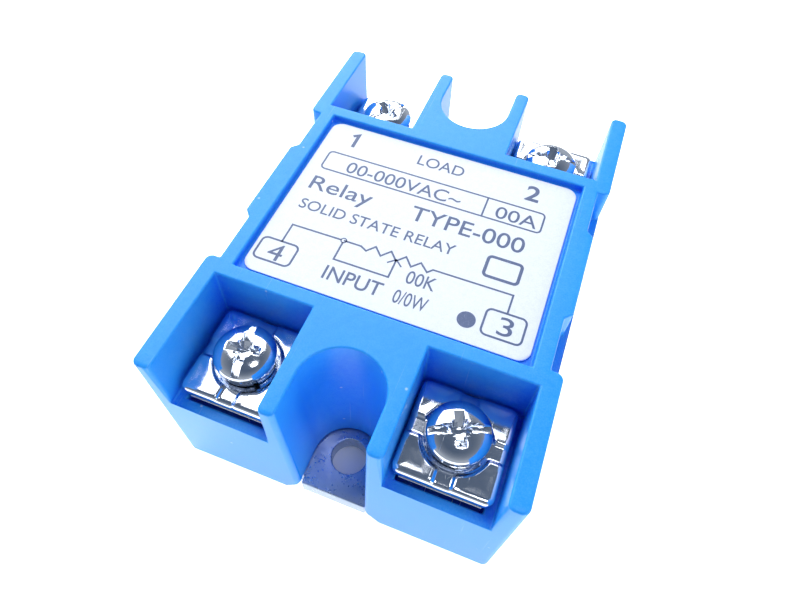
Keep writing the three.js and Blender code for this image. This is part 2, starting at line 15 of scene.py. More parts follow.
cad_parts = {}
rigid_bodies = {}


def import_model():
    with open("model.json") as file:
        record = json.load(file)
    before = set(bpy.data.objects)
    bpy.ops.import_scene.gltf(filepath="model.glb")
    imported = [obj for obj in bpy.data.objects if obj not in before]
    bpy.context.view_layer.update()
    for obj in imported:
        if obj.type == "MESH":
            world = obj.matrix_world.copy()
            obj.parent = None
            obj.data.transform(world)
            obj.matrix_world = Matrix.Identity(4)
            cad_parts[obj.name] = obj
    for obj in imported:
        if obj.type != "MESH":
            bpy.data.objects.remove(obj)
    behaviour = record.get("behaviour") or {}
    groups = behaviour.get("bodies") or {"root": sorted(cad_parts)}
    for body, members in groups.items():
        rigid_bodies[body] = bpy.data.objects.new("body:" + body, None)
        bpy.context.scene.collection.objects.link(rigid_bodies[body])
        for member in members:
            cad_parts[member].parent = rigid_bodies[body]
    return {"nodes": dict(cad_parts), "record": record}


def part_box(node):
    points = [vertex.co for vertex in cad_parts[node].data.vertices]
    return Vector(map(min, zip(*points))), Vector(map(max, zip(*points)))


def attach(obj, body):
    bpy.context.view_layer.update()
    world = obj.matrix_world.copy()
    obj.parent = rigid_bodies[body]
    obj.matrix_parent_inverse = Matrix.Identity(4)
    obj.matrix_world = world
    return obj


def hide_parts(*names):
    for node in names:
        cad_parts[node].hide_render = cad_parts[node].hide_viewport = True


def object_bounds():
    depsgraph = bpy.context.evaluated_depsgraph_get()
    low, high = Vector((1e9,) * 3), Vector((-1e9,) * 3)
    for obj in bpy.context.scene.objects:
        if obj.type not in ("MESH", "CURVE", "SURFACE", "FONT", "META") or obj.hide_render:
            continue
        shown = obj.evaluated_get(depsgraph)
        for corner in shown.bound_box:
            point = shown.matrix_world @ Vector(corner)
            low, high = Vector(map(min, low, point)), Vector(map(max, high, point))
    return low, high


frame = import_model()
cad_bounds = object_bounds()

MM = 0.001
CORNERS = (1, 2, 3, 4)


# ---------------------------------------------------------------- node trees

def add_node(tree, kind, **settings):
    made = tree.nodes.new(kind)
    for key, value in settings.items():
        setattr(made, key, value)
    return made


def put(tree, value, socket):
    """Feeds a socket from another socket, or sets it to a plain value."""
    if isinstance(value, bpy.types.NodeSocket):
        tree.links.new(value, socket)
    else:
        socket.default_value = value


def maths(tree, operation, a, b=0.0):
    made = add_node(tree, "ShaderNodeMath", operation=operation)
    put(tree, a, made.inputs[0])
    put(tree, b, made.inputs[1])
    return made.outputs[0]


def ramp_between(tree, value, low, high, to_low=0.0, to_high=1.0):
    made = add_node(tree, "ShaderNodeMapRange", clamp=True)
    for socket, given in zip(made.inputs, (value, low, high, to_low, to_high)):
        put(tree, given, socket)
    return made.outputs[0]


# Places of the colour sockets on a mix node
MIX_FIRST, MIX_SECOND, MIX_RESULT = 6, 7, 2


def mix_colour(tree, factor, a, b):
    made = add_node(tree, "ShaderNodeMix", data_type="RGBA")
    put(tree, factor, made.inputs["Factor"])
    put(tree, a, made.inputs[MIX_FIRST])
    put(tree, b, made.inputs[MIX_SECOND])
    return made.outputs[MIX_RESULT]


def noise(tree, vector, scale, detail=2.0, roughness=0.5):
    made = add_node(tree, "ShaderNodeTexNoise")
    put(tree, vector, made.inputs["Vector"])
    put(tree, scale, made.inputs["Scale"])
    made.inputs["Detail"].default_value = detail
    made.inputs["Roughness"].default_value = roughness
    return made.outputs["Fac"]


def stretched(tree, vector, scale, turn=0.0):
    made = add_node(tree, "ShaderNodeMapping")
    put(tree, vector, made.inputs["Vector"])
    made.inputs["Rotation"].default_value = (0.0, 0.0, math.radians(turn))
    made.inputs["Scale"].default_value = scale
    return made.outputs["Vector"]


def new_group(name, inputs, outputs):
    """A shader node group with named float inputs and outputs: (tree, input sockets, output sockets)."""
    tree = bpy.data.node_groups.new(name, "ShaderNodeTree")
    for label, default in inputs:
        socket = tree.interface.new_socket(name=label, in_out="INPUT", socket_type="NodeSocketFloat")
        socket.default_value = default
    for label in outputs:
        tree.interface.new_socket(name=label, in_out="OUTPUT", socket_type="NodeSocketFloat")
    return tree, tree.nodes.new("NodeGroupInput").outputs, tree.nodes.new("NodeGroupOutput").inputs


def place_group(tree, group, **values):
    made = add_node(tree, "ShaderNodeGroup", node_tree=group)
    for label, value in values.items():
        put(tree, value, made.inputs[label.replace("_", " ")])
    return made.outputs


def weighed_sum(tree, a, share_a, b, share_b):
    return maths(tree, "ADD", maths(tree, "MULTIPLY", a, share_a), maths(tree, "MULTIPLY", b, share_b))


def grain_group():
    """Fine texture of a spark-eroded mould, with a slow drift under it."""
    tree, given, out = new_group("moulded grain", [("Scale", 6000.0)], ["Height", "Drift"])
    where = add_node(tree, "ShaderNodeTexCoord").outputs["Object"]
    fine = noise(tree, where, given["Scale"], 4.0, 0.6)
    coarse = noise(tree, where, maths(tree, "MULTIPLY", given["Scale"], 0.22), 2.0)
    slow = noise(tree, where, maths(tree, "MULTIPLY", given["Scale"], 0.02), 2.0)
    put(tree, weighed_sum(tree, fine, 0.7, coarse, 0.3), out["Height"])
    put(tree, slow, out["Drift"])
    return tree


def edge_group():
    """Mask that is 1 on sharp outer edges, where the plastic gets a painted highlight and metal is rubbed
    bright.
    """
    tree, given, out = new_group("edge mask", [("Radius", 0.0004), ("Break up", 900.0)], ["Mask"])
    rounded = add_node(tree, "ShaderNodeBevel", samples=6)
    put(tree, given["Radius"], rounded.inputs["Radius"])
    flat = add_node(tree, "ShaderNodeNewGeometry").outputs["Normal"]
    same = add_node(tree, "ShaderNodeVectorMath", operation="DOT_PRODUCT")
    put(tree, rounded.outputs["Normal"], same.inputs[0])
    put(tree, flat, same.inputs[1])
    flat_cosine, sharp_cosine = 0.995, 0.80
    bend = ramp_between(tree, same.outputs["Value"], flat_cosine, sharp_cosine)
    where = add_node(tree, "ShaderNodeTexCoord").outputs["Object"]
    broken = ramp_between(tree, noise(tree, where, given["Break up"], 3.0), 0.3, 0.65, 0.45, 1.0)
    put(tree, maths(tree, "MULTIPLY", bend, broken), out["Mask"])
    return tree


def pocket_shade_group():
    """Mask of painted shade: 1 deep inside pockets and corners, where shade falls and light through the plastic
    is painted as a deeper blue.
    """
    tree, given, out = new_group("painted pocket shade", [("Reach", 0.008)], ["Mask"])
    shut_in = add_node(tree, "ShaderNodeAmbientOcclusion", samples=8, only_local=True)
    put(tree, given["Reach"], shut_in.inputs["Distance"])
    open_share, shut_share = 0.84, 0.40
    put(tree, ramp_between(tree, shut_in.outputs["AO"], open_share, shut_share), out["Mask"])
    return tree


def dust_group():
    """Mask of small separate specks."""
    tree, given, out = new_group("dust specks", [("Scale", 900.0), ("Share", 0.08)], ["Mask"])
    where = add_node(tree, "ShaderNodeTexCoord").outputs["Object"]
    cells = add_node(tree, "ShaderNodeTexVoronoi", feature="F1")
    put(tree, where, cells.inputs["Vector"])
    put(tree, given["Scale"], cells.inputs["Scale"])
    speck_rim, speck_core = 0.20, 0.08
    spot = ramp_between(tree, cells.outputs["Distance"], speck_rim, speck_core)
    dice = add_node(tree, "ShaderNodeSeparateColor")
    put(tree, cells.outputs["Color"], dice.inputs[0])
    chosen = maths(tree, "LESS_THAN", dice.outputs[0], given["Share"])
    put(tree, maths(tree, "MULTIPLY", spot, chosen), out["Mask"])
    return tree


def scratch_group():
    """Mask of fine straight hairlines in two directions, broken into short runs."""
    tree, given, out = new_group("hairlines", [("Scale", 1.0), ("Share", 0.5)], ["Mask"])
    where = add_node(tree, "ShaderNodeTexCoord").outputs["Object"]
    marks = None
    across, patch_scale = 7000.0, (300.0, 300.0, 300.0)
    crest, patch_edge = (0.715, 0.76), (0.50, 0.62)
    for turn, run in ((24.0, 60.0), (-52.0, 90.0)):
        lines = noise(tree, stretched(tree, where, (across, run, run), turn), given["Scale"], 1.0)
        thin = ramp_between(tree, lines, *crest)
        patch = noise(tree, stretched(tree, where, patch_scale, turn), given["Scale"], 1.0)
        kept = maths(tree, "MULTIPLY", thin, ramp_between(tree, patch, *patch_edge))
        marks = kept if marks is None else maths(tree, "MAXIMUM", marks, kept)
    put(tree, maths(tree, "MULTIPLY", marks, given["Share"]), out["Mask"])
    return tree


def brushing_group():
    """Height of parallel tool lines along Y, as left by milling or rolling."""
    tree, given, out = new_group("tool lines", [("Scale", 1.0)], ["Height"])
    where = add_node(tree, "ShaderNodeTexCoord").outputs["Object"]
    fine = noise(tree, stretched(tree, where, (9000.0, 120.0, 900.0)), given["Scale"], 3.0)
    wide = noise(tree, stretched(tree, where, (1600.0, 40.0, 300.0)), given["Scale"], 2.0)
    put(tree, weighed_sum(tree, fine, 0.6, wide, 0.4), out["Height"])
    return tree


GRAIN = grain_group()
EDGES = edge_group()
POCKET_SHADE = pocket_shade_group()
DUST = dust_group()
HAIRLINES = scratch_group()
TOOL_LINES = brushing_group()


# ---------------------------------------------------------------- finishes

def start_material(name, **sockets):
    material = bpy.data.materials.new(name)
    material.use_nodes = True
    tree = material.node_tree
    shader = tree.nodes["Principled BSDF"]
    for label, value in sockets.items():
        shader.inputs[label.replace("_", " ")].default_value = value
    return material, tree, shader


def bump(tree, shader, height, depth_mm, strength):
    made = add_node(tree, "ShaderNodeBump")
    made.inputs["Strength"].default_value = strength
    made.inputs["Distance"].default_value = depth_mm * MM
    put(tree, height, made.inputs["Height"])
    put(tree, made.outputs["Normal"], shader.inputs["Normal"])


def rgb(red, green, blue):
    return (red, green, blue, 1.0)


# Where the grain's height starts and stops changing the roughness
GRAIN_SPAN = (0.3, 0.7)


def by_grain(tree, grain, low, high):
    """A value that goes from low in the hollows of the grain to high on its crests."""
    return ramp_between(tree, grain["Height"], *GRAIN_SPAN, low, high)


# Outer sides of the middle of the housing: all of it beyond this X and within this Y
SIDE_FACE_X = 18.9 * MM
SIDE_FACE_Y = 16.6 * MM


def away_from_sides(tree):
    """1 everywhere but on the outer sides of the middle of the housing, which stand open to the light and so
    get no painted pocket shade.
    """
    parts = add_node(tree, "ShaderNodeSeparateXYZ")
    put(tree, add_node(tree, "ShaderNodeTexCoord").outputs["Object"], parts.inputs[0])
    outside = maths(tree, "GREATER_THAN", maths(tree, "ABSOLUTE", parts.outputs["X"]), SIDE_FACE_X)
    middle = maths(tree, "LESS_THAN", maths(tree, "ABSOLUTE", parts.outputs["Y"]), SIDE_FACE_Y)
    return maths(tree, "SUBTRACT", 1.0, maths(tree, "MULTIPLY", outside, middle))


OPEN_BLUE = (rgb(0.014, 0.295, 0.91), rgb(0.022, 0.330, 0.95))
# Painted shade: the deeper blue of shut-in pockets and corners
PAINTED_SHADE_BLUE = rgb(0.0, 0.125, 0.97)
FLECK_BLUE = rgb(0.12, 0.50, 1.0)
# Painted highlight: the paler blue of sharp plastic edges
EDGE_HIGHLIGHT_BLUE = rgb(0.13, 0.50, 0.98)
SCUFF_BLUE = rgb(0.62, 0.80, 0.98)


def blue_plastic():
    """Satin thermoplastic with a painted highlight, a paler blue, on its sharp edges and painted shade, a
    deeper blue, inside pockets and corners.
    """
    material, tree, shader = start_material(
        "blue_plastic",
        Subsurface_Weight=0.2,
        Subsurface_Radius=(0.15, 0.5, 1.0),
        Subsurface_Scale=0.0014,
        IOR=1.45,
        Specular_IOR_Level=0.28,
    )
    grain = place_group(tree, GRAIN, Scale=5200.0)
    # deep is the painted shade mask, left off the sides that stand open to the light
    deep = maths(tree, "MULTIPLY", place_group(tree, POCKET_SHADE, Reach=0.009)["Mask"], away_from_sides(tree))
    edge = place_group(tree, EDGES, Radius=0.00042, Break_up=700.0)["Mask"]
    dust = place_group(tree, DUST, Scale=900.0, Share=0.03)["Mask"]
    lines = place_group(tree, HAIRLINES, Scale=0.6, Share=0.35)["Mask"]
    open_face = mix_colour(tree, grain["Drift"], *OPEN_BLUE)
    # painted shade: a deeper blue inside pockets and corners
    toned = mix_colour(tree, deep, open_face, PAINTED_SHADE_BLUE)
    fleck = ramp_between(tree, grain["Height"], 0.40, 0.62)
    grained = mix_colour(tree, fleck, toned, mix_colour(tree, 0.20, toned, FLECK_BLUE))
    # painted highlight: a paler blue on sharp edges
    edge_highlighted = mix_colour(tree, maths(tree, "MULTIPLY", edge, 0.55), grained, EDGE_HIGHLIGHT_BLUE)
    marks = maths(tree, "MAXIMUM", maths(tree, "MULTIPLY", dust, 0.5), maths(tree, "MULTIPLY", lines, 0.35))
    put(tree, mix_colour(tree, marks, edge_highlighted, SCUFF_BLUE), shader.inputs["Base Color"])
    put(tree, by_grain(tree, grain, 0.27, 0.38), shader.inputs["Roughness"])
    cut_lines = maths(tree, "MULTIPLY", lines, 0.5)
    bump(tree, shader, maths(tree, "SUBTRACT", grain["Height"], cut_lines), 0.02, 0.5)
    return material


def label_film():
    """White film with a faint blue cast, a few specks and hairlines."""
    material, tree, shader = start_material("label_paper", Coat_Weight=0.12, Coat_Roughness=0.25, IOR=1.45)
    grain = place_group(tree, GRAIN, Scale=7000.0)
    dust = place_group(tree, DUST, Scale=600.0, Share=0.05)["Mask"]
    lines = place_group(tree, HAIRLINES, Scale=0.5, Share=0.4)["Mask"]
    plain = mix_colour(tree, grain["Drift"], rgb(0.74, 0.80, 0.88), rgb(0.78, 0.835, 0.90))
    speckled = mix_colour(tree, ramp_between(tree, grain["Height"], 0.42, 0.60), plain, rgb(0.70, 0.76, 0.88))
    marks = maths(tree, "MAXIMUM", maths(tree, "MULTIPLY", dust, 0.35), maths(tree, "MULTIPLY", lines, 0.18))
    put(tree, mix_colour(tree, marks, speckled, rgb(0.58, 0.66, 0.82)), shader.inputs["Base Color"])
    put(tree, by_grain(tree, grain, 0.42, 0.55), shader.inputs["Roughness"])
    bump(tree, shader, grain["Height"], 0.01, 0.25)
    return material


def label_ink():
    """Grey-blue ink that the film shows through in fine points."""
    material, tree, shader = start_material("label_ink", IOR=1.45)
    grain = place_group(tree, GRAIN, Scale=9000.0)
    body = mix_colour(tree, grain["Drift"], rgb(0.070, 0.105, 0.22), rgb(0.090, 0.130, 0.26))
    thin = maths(tree, "MULTIPLY", ramp_between(tree, grain["Height"], 0.52, 0.68), 0.4)
    put(tree, mix_colour(tree, thin, body, rgb(0.26, 0.32, 0.48)), shader.inputs["Base Color"])
    put(tree, by_grain(tree, grain, 0.40, 0.60), shader.inputs["Roughness"])
    bump(tree, shader, grain["Height"], 0.006, 0.3)
    return material


RUBBED_METAL = rgb(0.95, 0.96, 0.98)


def bright_metal(name, colour, worn, rough, lined=0.0, peel=0.5):
    """Plated metal with a little orange peel, hairlines and rubbed edges."""
    material, tree, shader = start_material(name, Metallic=1.0)
    grain = place_group(tree, GRAIN, Scale=2600.0)
    edge = place_group(tree, EDGES, Radius=0.00015, Break_up=1500.0)["Mask"]
    lines = place_group(tree, HAIRLINES, Scale=0.8, Share=0.8)["Mask"]
    dust = place_group(tree, DUST, Scale=1300.0, Share=0.03)["Mask"]
    toned = mix_colour(tree, ramp_between(tree, grain["Drift"], *GRAIN_SPAN), rgb(*colour), rgb(*worn))
    rubbed = mix_colour(tree, maths(tree, "MULTIPLY", edge, 0.5), toned, RUBBED_METAL)
    dusty = mix_colour(tree, maths(tree, "MULTIPLY", dust, 0.4), rubbed, rgb(*worn))
    put(tree, dusty, shader.inputs["Base Color"])
    hazed = by_grain(tree, grain, rough * 0.7, rough * 1.4)
    put(tree, maths(tree, "ADD", hazed, maths(tree, "MULTIPLY", lines, 0.2)), shader.inputs["Roughness"])
    height = maths(tree, "SUBTRACT", maths(tree, "MULTIPLY", grain["Height"], peel), lines)
    if lined:
        tool = place_group(tree, TOOL_LINES, Scale=1.0)["Height"]
        height = maths(tree, "ADD", height, maths(tree, "MULTIPLY", tool, lined))
    bump(tree, shader, height, 0.014, 0.4)
    return material


def dull_solid(name, colour, other, rough, grain_scale=4000.0, **sockets):
    """Moulded, cast or lacquered stuff of the inner pieces: two tones of grain, soft edges, fine bump."""
    material, tree, shader = start_material(name, **sockets)
    grain = place_group(tree, GRAIN, Scale=grain_scale)
    edge = place_group(tree, EDGES, Radius=0.0002, Break_up=1200.0)["Mask"]
    dust = place_group(tree, DUST, Scale=900.0, Share=0.05)["Mask"]
    toned = mix_colour(tree, ramp_between(tree, grain["Height"], 0.35, 0.65), rgb(*colour), rgb(*other))
    pale = [min(1.0, 0.3 + c) for c in other]
    marks = maths(tree, "MAXIMUM", maths(tree, "MULTIPLY", edge, 0.35), maths(tree, "MULTIPLY", dust, 0.3))
    put(tree, mix_colour(tree, marks, toned, rgb(*pale)), shader.inputs["Base Color"])
    put(tree, by_grain(tree, grain, rough * 0.8, min(1.0, rough * 1.2)), shader.inputs["Roughness"])
    bump(tree, shader, grain["Height"], 0.02, 0.3)
    return material


FINISHES = {
    "blue_plastic": blue_plastic(),
    "label_paper": label_film(),
    "aluminium": bright_metal("aluminium", (0.46, 0.54, 0.66), (0.38, 0.46, 0.58), 0.30, lined=0.9),
    "nickel_plate": bright_metal("nickel_plate", (0.78, 0.76, 0.71), (0.66, 0.65, 0.62), 0.20, lined=0.3),
    "zinc_plate": bright_metal("zinc_plate", (0.84, 0.87, 0.92), (0.66, 0.71, 0.80), 0.11, peel=0.75),
    "spring_steel": bright_metal("spring_steel", (0.50, 0.56, 0.68), (0.36, 0.41, 0.52), 0.24),
    "copper": bright_metal("copper", (0.80, 0.46, 0.30), (0.62, 0.33, 0.22), 0.30, lined=0.5),
    "ceramic": dull_solid("ceramic", (0.86, 0.84, 0.79), (0.92, 0.90, 0.86), 0.55, 8000.0),
    "silicon": dull_solid("silicon", (0.07, 0.08, 0.10), (0.11, 0.12, 0.15), 0.20, 3000.0),
    "silicone_gel": dull_solid(
        "silicone_gel", (0.72, 0.76, 0.80), (0.80, 0.83, 0.86), 0.12, 900.0, Subsurface_Weight=0.4
    ),
    "board_green": dull_solid("board_green", (0.02, 0.16, 0.06), (0.03, 0.20, 0.08), 0.28, 3000.0),
    "capacitor_film": dull_solid("capacitor_film", (0.60, 0.34, 0.04), (0.66, 0.39, 0.06), 0.35, 3500.0),
    "varistor_blue": dull_solid("varistor_blue", (0.03, 0.11, 0.34), (0.04, 0.14, 0.40), 0.25, 2500.0),
    "resistor_body": dull_solid("resistor_body", (0.55, 0.42, 0.24), (0.62, 0.48, 0.28), 0.40, 3000.0),
    "diac_glass": dull_solid("diac_glass", (0.42, 0.06, 0.03), (0.50, 0.09, 0.04), 0.12, 2500.0),
}
INK = label_ink()

for part in frame["record"]["subparts"]:
    node = frame["nodes"][part["node"]]
    node.data.materials.clear()
    node.data.materials.append(FINISHES[part["material_slot"]])


# ---------------------------------------------------------------- making pieces

# Two faces meet in a sharp edge above this angle, in degrees
SHARP_ANGLE = 40.0
# An edge is rounded where the faces beside it are wider than this many times the rounding
EDGE_ROOM = 2.1
# Corners of a wall are longer than this
WALL_HEIGHT = 5 * MM


def finish_piece(name, mesh, material, body, stands_for=(), smooth_below=SHARP_ANGLE):
    mesh.materials.clear()
    mesh.materials.append(material)
    mesh.shade_smooth()
    mesh.set_sharp_from_angle(angle=math.radians(smooth_below))
    piece = bpy.data.objects.new(name, mesh)
    bpy.context.scene.collection.objects.link(piece)
    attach(piece, body)
    if stands_for:
        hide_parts(*stands_for)
    return piece


def mesh_from(name, points, faces):
    mesh = bpy.data.meshes.new(name)
    mesh.from_pydata([tuple(p) for p in points], [], [tuple(f) for f in faces])
    shape = bmesh.new()
    shape.from_mesh(mesh)
    bmesh.ops.remove_doubles(shape, verts=shape.verts, dist=1e-7)
    bmesh.ops.recalc_face_normals(shape, faces=shape.faces)
    shape.to_mesh(mesh)
    shape.free()
    return mesh


def room_beside(edge):
    """How far the narrower of the two faces beside an edge reaches away from it."""
    start, end = (corner.co for corner in edge.verts)
    along = (end - start).normalized()
    reaches = []
    for face in edge.link_faces:
        gaps = [(corner.co - start) - (corner.co - start).dot(along) * along for corner in face.verts]
        reaches.append(max(gap.length for gap in gaps))
    return min(reaches)


def sharp_edges(shape, width, wanted=lambda edge: True):
    return [
        edge
        for edge in shape.edges
        if len(edge.link_faces) == 2
        and edge.calc_face_angle() > math.radians(SHARP_ANGLE)
        and room_beside(edge) > EDGE_ROOM * width
        and wanted(edge)
    ]


def round_off(shape, edges, width, segments):
    bmesh.ops.bevel(
        shape,
        geom=edges,
        offset=width,
        offset_type="OFFSET",
        segments=segments,
        profile=0.5,
        affect="EDGES",
        clamp_overlap=False,
    )


def softened(node_name, piece_name, width_mm, body, slot, wall_ends=None):
    """A copy of a CAD node with its sharp edges rounded, standing for the node.

    wall_ends is (distance from the middle along Y, radius), in mm, for upright corners at the ends of walls.
    """
    mesh = frame["nodes"][node_name].data.copy()
    mesh.name = piece_name
    shape = bmesh.new()
    shape.from_mesh(mesh)
    bmesh.ops.remove_doubles(shape, verts=shape.verts, dist=2e-6)
    bmesh.ops.dissolve_limit(
        shape,
        angle_limit=math.radians(1.0),
        use_dissolve_boundaries=False,
        verts=shape.verts,
        edges=shape.edges,
    )
    if wall_ends:
        beyond, radius = wall_ends[0] * MM, wall_ends[1] * MM

        def upright_at_end(edge):
            start, end = (corner.co for corner in edge.verts)
            return abs(end.z - start.z) > WALL_HEIGHT and min(abs(start.y), abs(end.y)) > beyond

        round_off(shape, sharp_edges(shape, radius / 2, upright_at_end), radius, 4)
    for width in (width_mm * MM, width_mm * MM / 3):
        round_off(shape, sharp_edges(shape, width), width, 2)
    bmesh.ops.triangulate(shape, faces=[face for face in shape.faces if len(face.verts) > 4])
    shape.to_mesh(mesh)
    shape.free()
    piece = finish_piece(piece_name, mesh, FINISHES[slot], body, [node_name])
    weighted = piece.modifiers.new("even shading", "WEIGHTED_NORMAL")
    weighted.keep_sharp = True
    return piece


def smooth_step(value, width):
    """0 below -width/2, 1 above width/2 and smooth between; value and width in the same unit."""
    t = np.clip(value / width + 0.5, 0.0, 1.0)
    return t * t * (3.0 - 2.0 * t)


def square_grid(cells):
    """Grid over [-1, 1] squared: u, v arrays, quads as index rows and the loop round the outside."""
    line = np.linspace(-1.0, 1.0, cells + 1)
    u, v = np.meshgrid(line, line, indexing="ij")
    row = cells + 1
    i, j = np.meshgrid(np.arange(cells), np.arange(cells), indexing="ij")
    first = (i * row + j).ravel()
    quads = np.stack([first, first + row, first + row + 1, first + 1], axis=1)
    low = [k * row for k in range(cells)]
    right = [cells * row + k for k in range(cells)]
    high = [k * row + cells for k in range(cells, 0, -1)]
    left = [k for k in range(cells, 0, -1)]
    return u.ravel(), v.ravel(), quads, low + right + high + left


def bridge(loop_a, loop_b):
    """Quads between two closed loops of the same length."""
    count = len(loop_a)
    return [
        (loop_a[k], loop_a[(k + 1) % count], loop_b[(k + 1) % count], loop_b[k])
        for k in range(count)
    ]


# ---------------------------------------------------------------- clamp plates

CLAMP_CELLS = 88
CLAMP_CORNER = 1.0 * MM
CLAMP_HOLE = 2.35 * MM

# Cross channels and ring channel; the slopes are the widths over which they come up to the lands
CHANNEL_DEPTH = 0.34 * MM
CHANNEL_HALF_WIDTH = 1.10 * MM
CHANNEL_SLOPE = 0.5 * MM
RING_RADIUS = 4.25 * MM
RING_SLOPE = 0.6 * MM

# Each corner land is a little dished; the dish's edge and slope are shares of its half width
DISH_MIDDLE = 3.7 * MM
DISH_HALF_WIDTH = 2.4 * MM
DISH_DEPTH = 0.08 * MM
DISH_EDGE, DISH_SLOPE = 0.62, 0.7

# Rolled outer edge
ROLL_WIDTH = 0.75 * MM
ROLL_DROP = 0.30 * MM


def pressed_clamp(number):
    """Square stamped plate: raised corner lands round a ring channel, cross channels and rolled edges."""
    node = f"clamp_plate_{number}"
    low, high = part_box(node)
    centre = (low + high) / 2
    half = (high.x - low.x) / 2
    u, v, quads, rim = square_grid(CLAMP_CELLS)
    x, y = u * half, v * half
    inner = half - CLAMP_CORNER
    a, b = np.maximum(np.abs(x) - inner, 0.0), np.maximum(np.abs(y) - inner, 0.0)
    span = np.hypot(a, b)
    pull = np.where(span > 0.0, np.maximum(a, b) / np.maximum(span, 1e-12), 1.0)
    x = np.where((a > 0) & (b > 0), np.sign(x) * (inner + a * pull), x)
    y = np.where((a > 0) & (b > 0), np.sign(y) * (inner + b * pull), y)
    radius = np.hypot(x, y)
    beside_x = smooth_step(np.abs(x) - CHANNEL_HALF_WIDTH, CHANNEL_SLOPE)
    beside_y = smooth_step(np.abs(y) - CHANNEL_HALF_WIDTH, CHANNEL_SLOPE)
    raised = beside_x * beside_y * smooth_step(radius - RING_RADIUS, RING_SLOPE)
    across = np.abs(np.abs(x) - DISH_MIDDLE) / DISH_HALF_WIDTH
    along = np.abs(np.abs(y) - DISH_MIDDLE) / DISH_HALF_WIDTH
    dished = DISH_DEPTH * (1.0 - smooth_step(np.maximum(across, along) - DISH_EDGE, DISH_SLOPE))
    edge_gap = half - np.maximum(np.abs(u), np.abs(v)) * half
    t = np.clip(1.0 - edge_gap / ROLL_WIDTH, 0.0, 1.0)
    rolled = ROLL_DROP * (1.0 - np.sqrt(np.maximum(0.0, 1.0 - t * t)))
    top = high.z - CHANNEL_DEPTH * (1.0 - raised) - dished * raised - rolled
    near_hole = radius < CLAMP_HOLE
    factor = np.where(near_hole & (radius > 0), CLAMP_HOLE / np.maximum(radius, 1e-9), 1.0)
    middles = (np.stack([x, y], 1)[quads]).mean(axis=1)
    kept = quads[np.hypot(middles[:, 0], middles[:, 1]) > CLAMP_HOLE]
    used = np.zeros(len(x), bool)
    used[kept.ravel()] = True
    x, y = np.where(used, x * factor, x), np.where(used, y * factor, y)
    bottom = np.full(len(x), low.z) + 0.5 * rolled
    points = np.concatenate([
        np.stack([x + centre.x, y + centre.y, top], 1),
        np.stack([x + centre.x, y + centre.y, bottom], 1),
    ])
    count = len(x)
    faces = [tuple(q) for q in kept] + [tuple(q[::-1] + count) for q in kept]
    faces += bridge(rim, [k + count for k in rim])
    sides = {}
    for quad in kept:
        for k in range(4):
            pair = (int(quad[k]), int(quad[(k + 1) % 4]))
            sides[tuple(sorted(pair))] = None if tuple(sorted(pair)) in sides else pair
    outside = set(rim)
    for pair in sides.values():
        if pair and not (pair[0] in outside and pair[1] in outside):
            faces.append((pair[1], pair[0], pair[0] + count, pair[1] + count))
    mesh = mesh_from(f"stamped_clamp_{number}", points, faces)
    loose = bmesh.new()
    loose.from_mesh(mesh)
    bmesh.ops.delete(loose, geom=[p for p in loose.verts if not p.link_faces], context="VERTS")
    loose.to_mesh(mesh)
    loose.free()
    return finish_piece(
        f"stamped_clamp_{number}", mesh, FINISHES["zinc_plate"], f"clamp_{number}", [node], 50.0
    )


# ---------------------------------------------------------------- screws and washers

# Resting turn of each slot about its screw axis, in degrees
SLOT_TURN = {1: 52.0, 2: 8.0, 3: 22.0, 4: -80.0}
THREAD_PITCH = 0.7 * MM
THREAD_DEPTH = 0.36 * MM
SHANK_RADIUS = 2.0 * MM
# The thread starts at this share of the shank's radius and is full after the lead
LEAD_SHARE = 0.72
LEAD_LENGTH = 0.9 * MM
# Flat at the root of each tooth and share of the pitch that its two flanks take
ROOT_FLAT, FLANK_SHARE = 0.12, 0.76

HEAD_RADIUS = 3.8 * MM
HEAD_HEIGHT = 2.62 * MM
HEAD_DOME = 1.45 * MM
HEAD_EDGE_ROUNDING = 0.05 * MM
# How far the shank goes up into the head, and how far a cutter stands above it
SHANK_IN_HEAD = 0.3 * MM
CUTTER_ABOVE = MM

WASHER_BORE = 2.35 * MM
WASHER_SIDE_GAP = 0.1 * MM
WASHER_ROUNDING = 0.10 * MM
# Shares of the washer's height: its wire, and the step between its cut ends
WIRE_SHARE, STEP_SHARE = 0.86, 0.12
# In degrees: the gap between the cut ends, and its turn from the screw's slot
WASHER_GAP, WASHER_TURN = 11.0, 35.0


def turned(profile, steps=96):
    """Points and faces of a closed body turned about Z.

    profile holds (radius, height) pairs that start and end on the axis.
    """
    points = [(0.0, 0.0, profile[0][1])]
    for radius, height in profile[1:-1]:
        for step in range(steps):
            angle = 2 * math.pi * step / steps
            points.append((radius * math.cos(angle), radius * math.sin(angle), height))
    points.append((0.0, 0.0, profile[-1][1]))
    rings = [[1 + row * steps + step for step in range(steps)] for row in range(len(profile) - 2)]
    faces = [(0, rings[0][(k + 1) % steps], rings[0][k]) for k in range(steps)]
    for lower, upper in zip(rings, rings[1:]):
        faces += bridge(lower, upper)
    last = len(points) - 1
    faces += [(last, rings[-1][k], rings[-1][(k + 1) % steps]) for k in range(steps)]
    return points, faces


def wedge_tool(top, wide, deep, reach):
    """A cutter that tapers downwards: half sizes at the top and at the floor, both as (x, y)."""
    levels = ((top + CUTTER_ABOVE, wide), (top, wide), (top - deep, reach))
    points = []
    for height, (x, y) in levels:
        points += [(x, y, height), (-x, y, height), (-x, -y, height), (x, -y, height)]
    faces = [(0, 1, 2, 3), (11, 10, 9, 8)]
    for level in (0, 4):
        faces += [(level + k, level + 4 + k, level + 4 + (k + 1) % 4, level + (k + 1) % 4) for k in range(4)]
    return mesh_from("cutter", points, faces)


